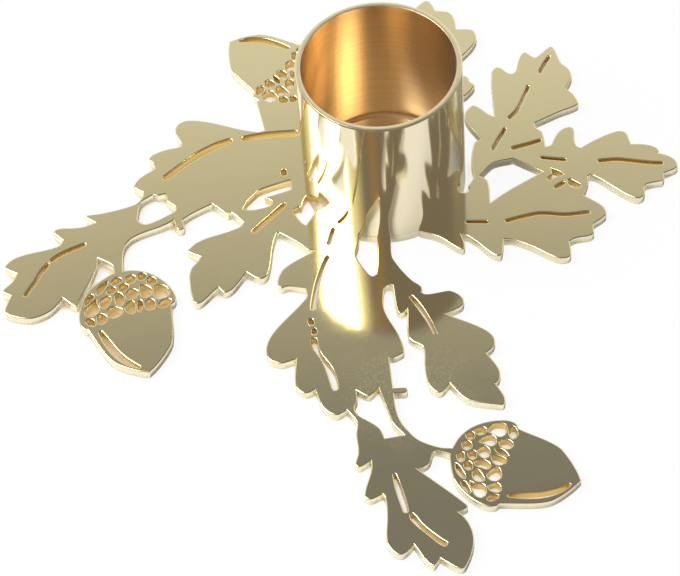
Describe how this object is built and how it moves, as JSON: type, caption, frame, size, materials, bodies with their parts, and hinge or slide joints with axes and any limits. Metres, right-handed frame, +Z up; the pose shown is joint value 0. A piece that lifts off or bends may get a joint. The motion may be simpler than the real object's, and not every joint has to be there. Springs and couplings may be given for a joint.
{
  "type": "candlestick",
  "caption": "Low brass candlestick: a plain open tube cup soldered on a flat plate cut through into oak leaves, twigs and acorns.",
  "frame": {"origin": "on the cup's axis, on the surface that the plate lies on", "axes": "+Z up along the cup's axis; the long front sprig with an acorn runs towards -Y and the left sprig with an acorn towards -X"},
  "size_m": [0.1003, 0.1021, 0.0263],
  "materials": {
    "brass_plate": "polished sheet with a faint satin grain and softly rounded cut edges",
    "brass_cup": "mirror-polished outside, fine turned rings inside",
    "solder": "satin hollow fillet of solder"
  },
  "bodies": {
    "root": {"leaf_plate": "brass_plate", "candle_cup": "brass_cup", "solder_ring": "solder"}
  },
  "joints": []
}
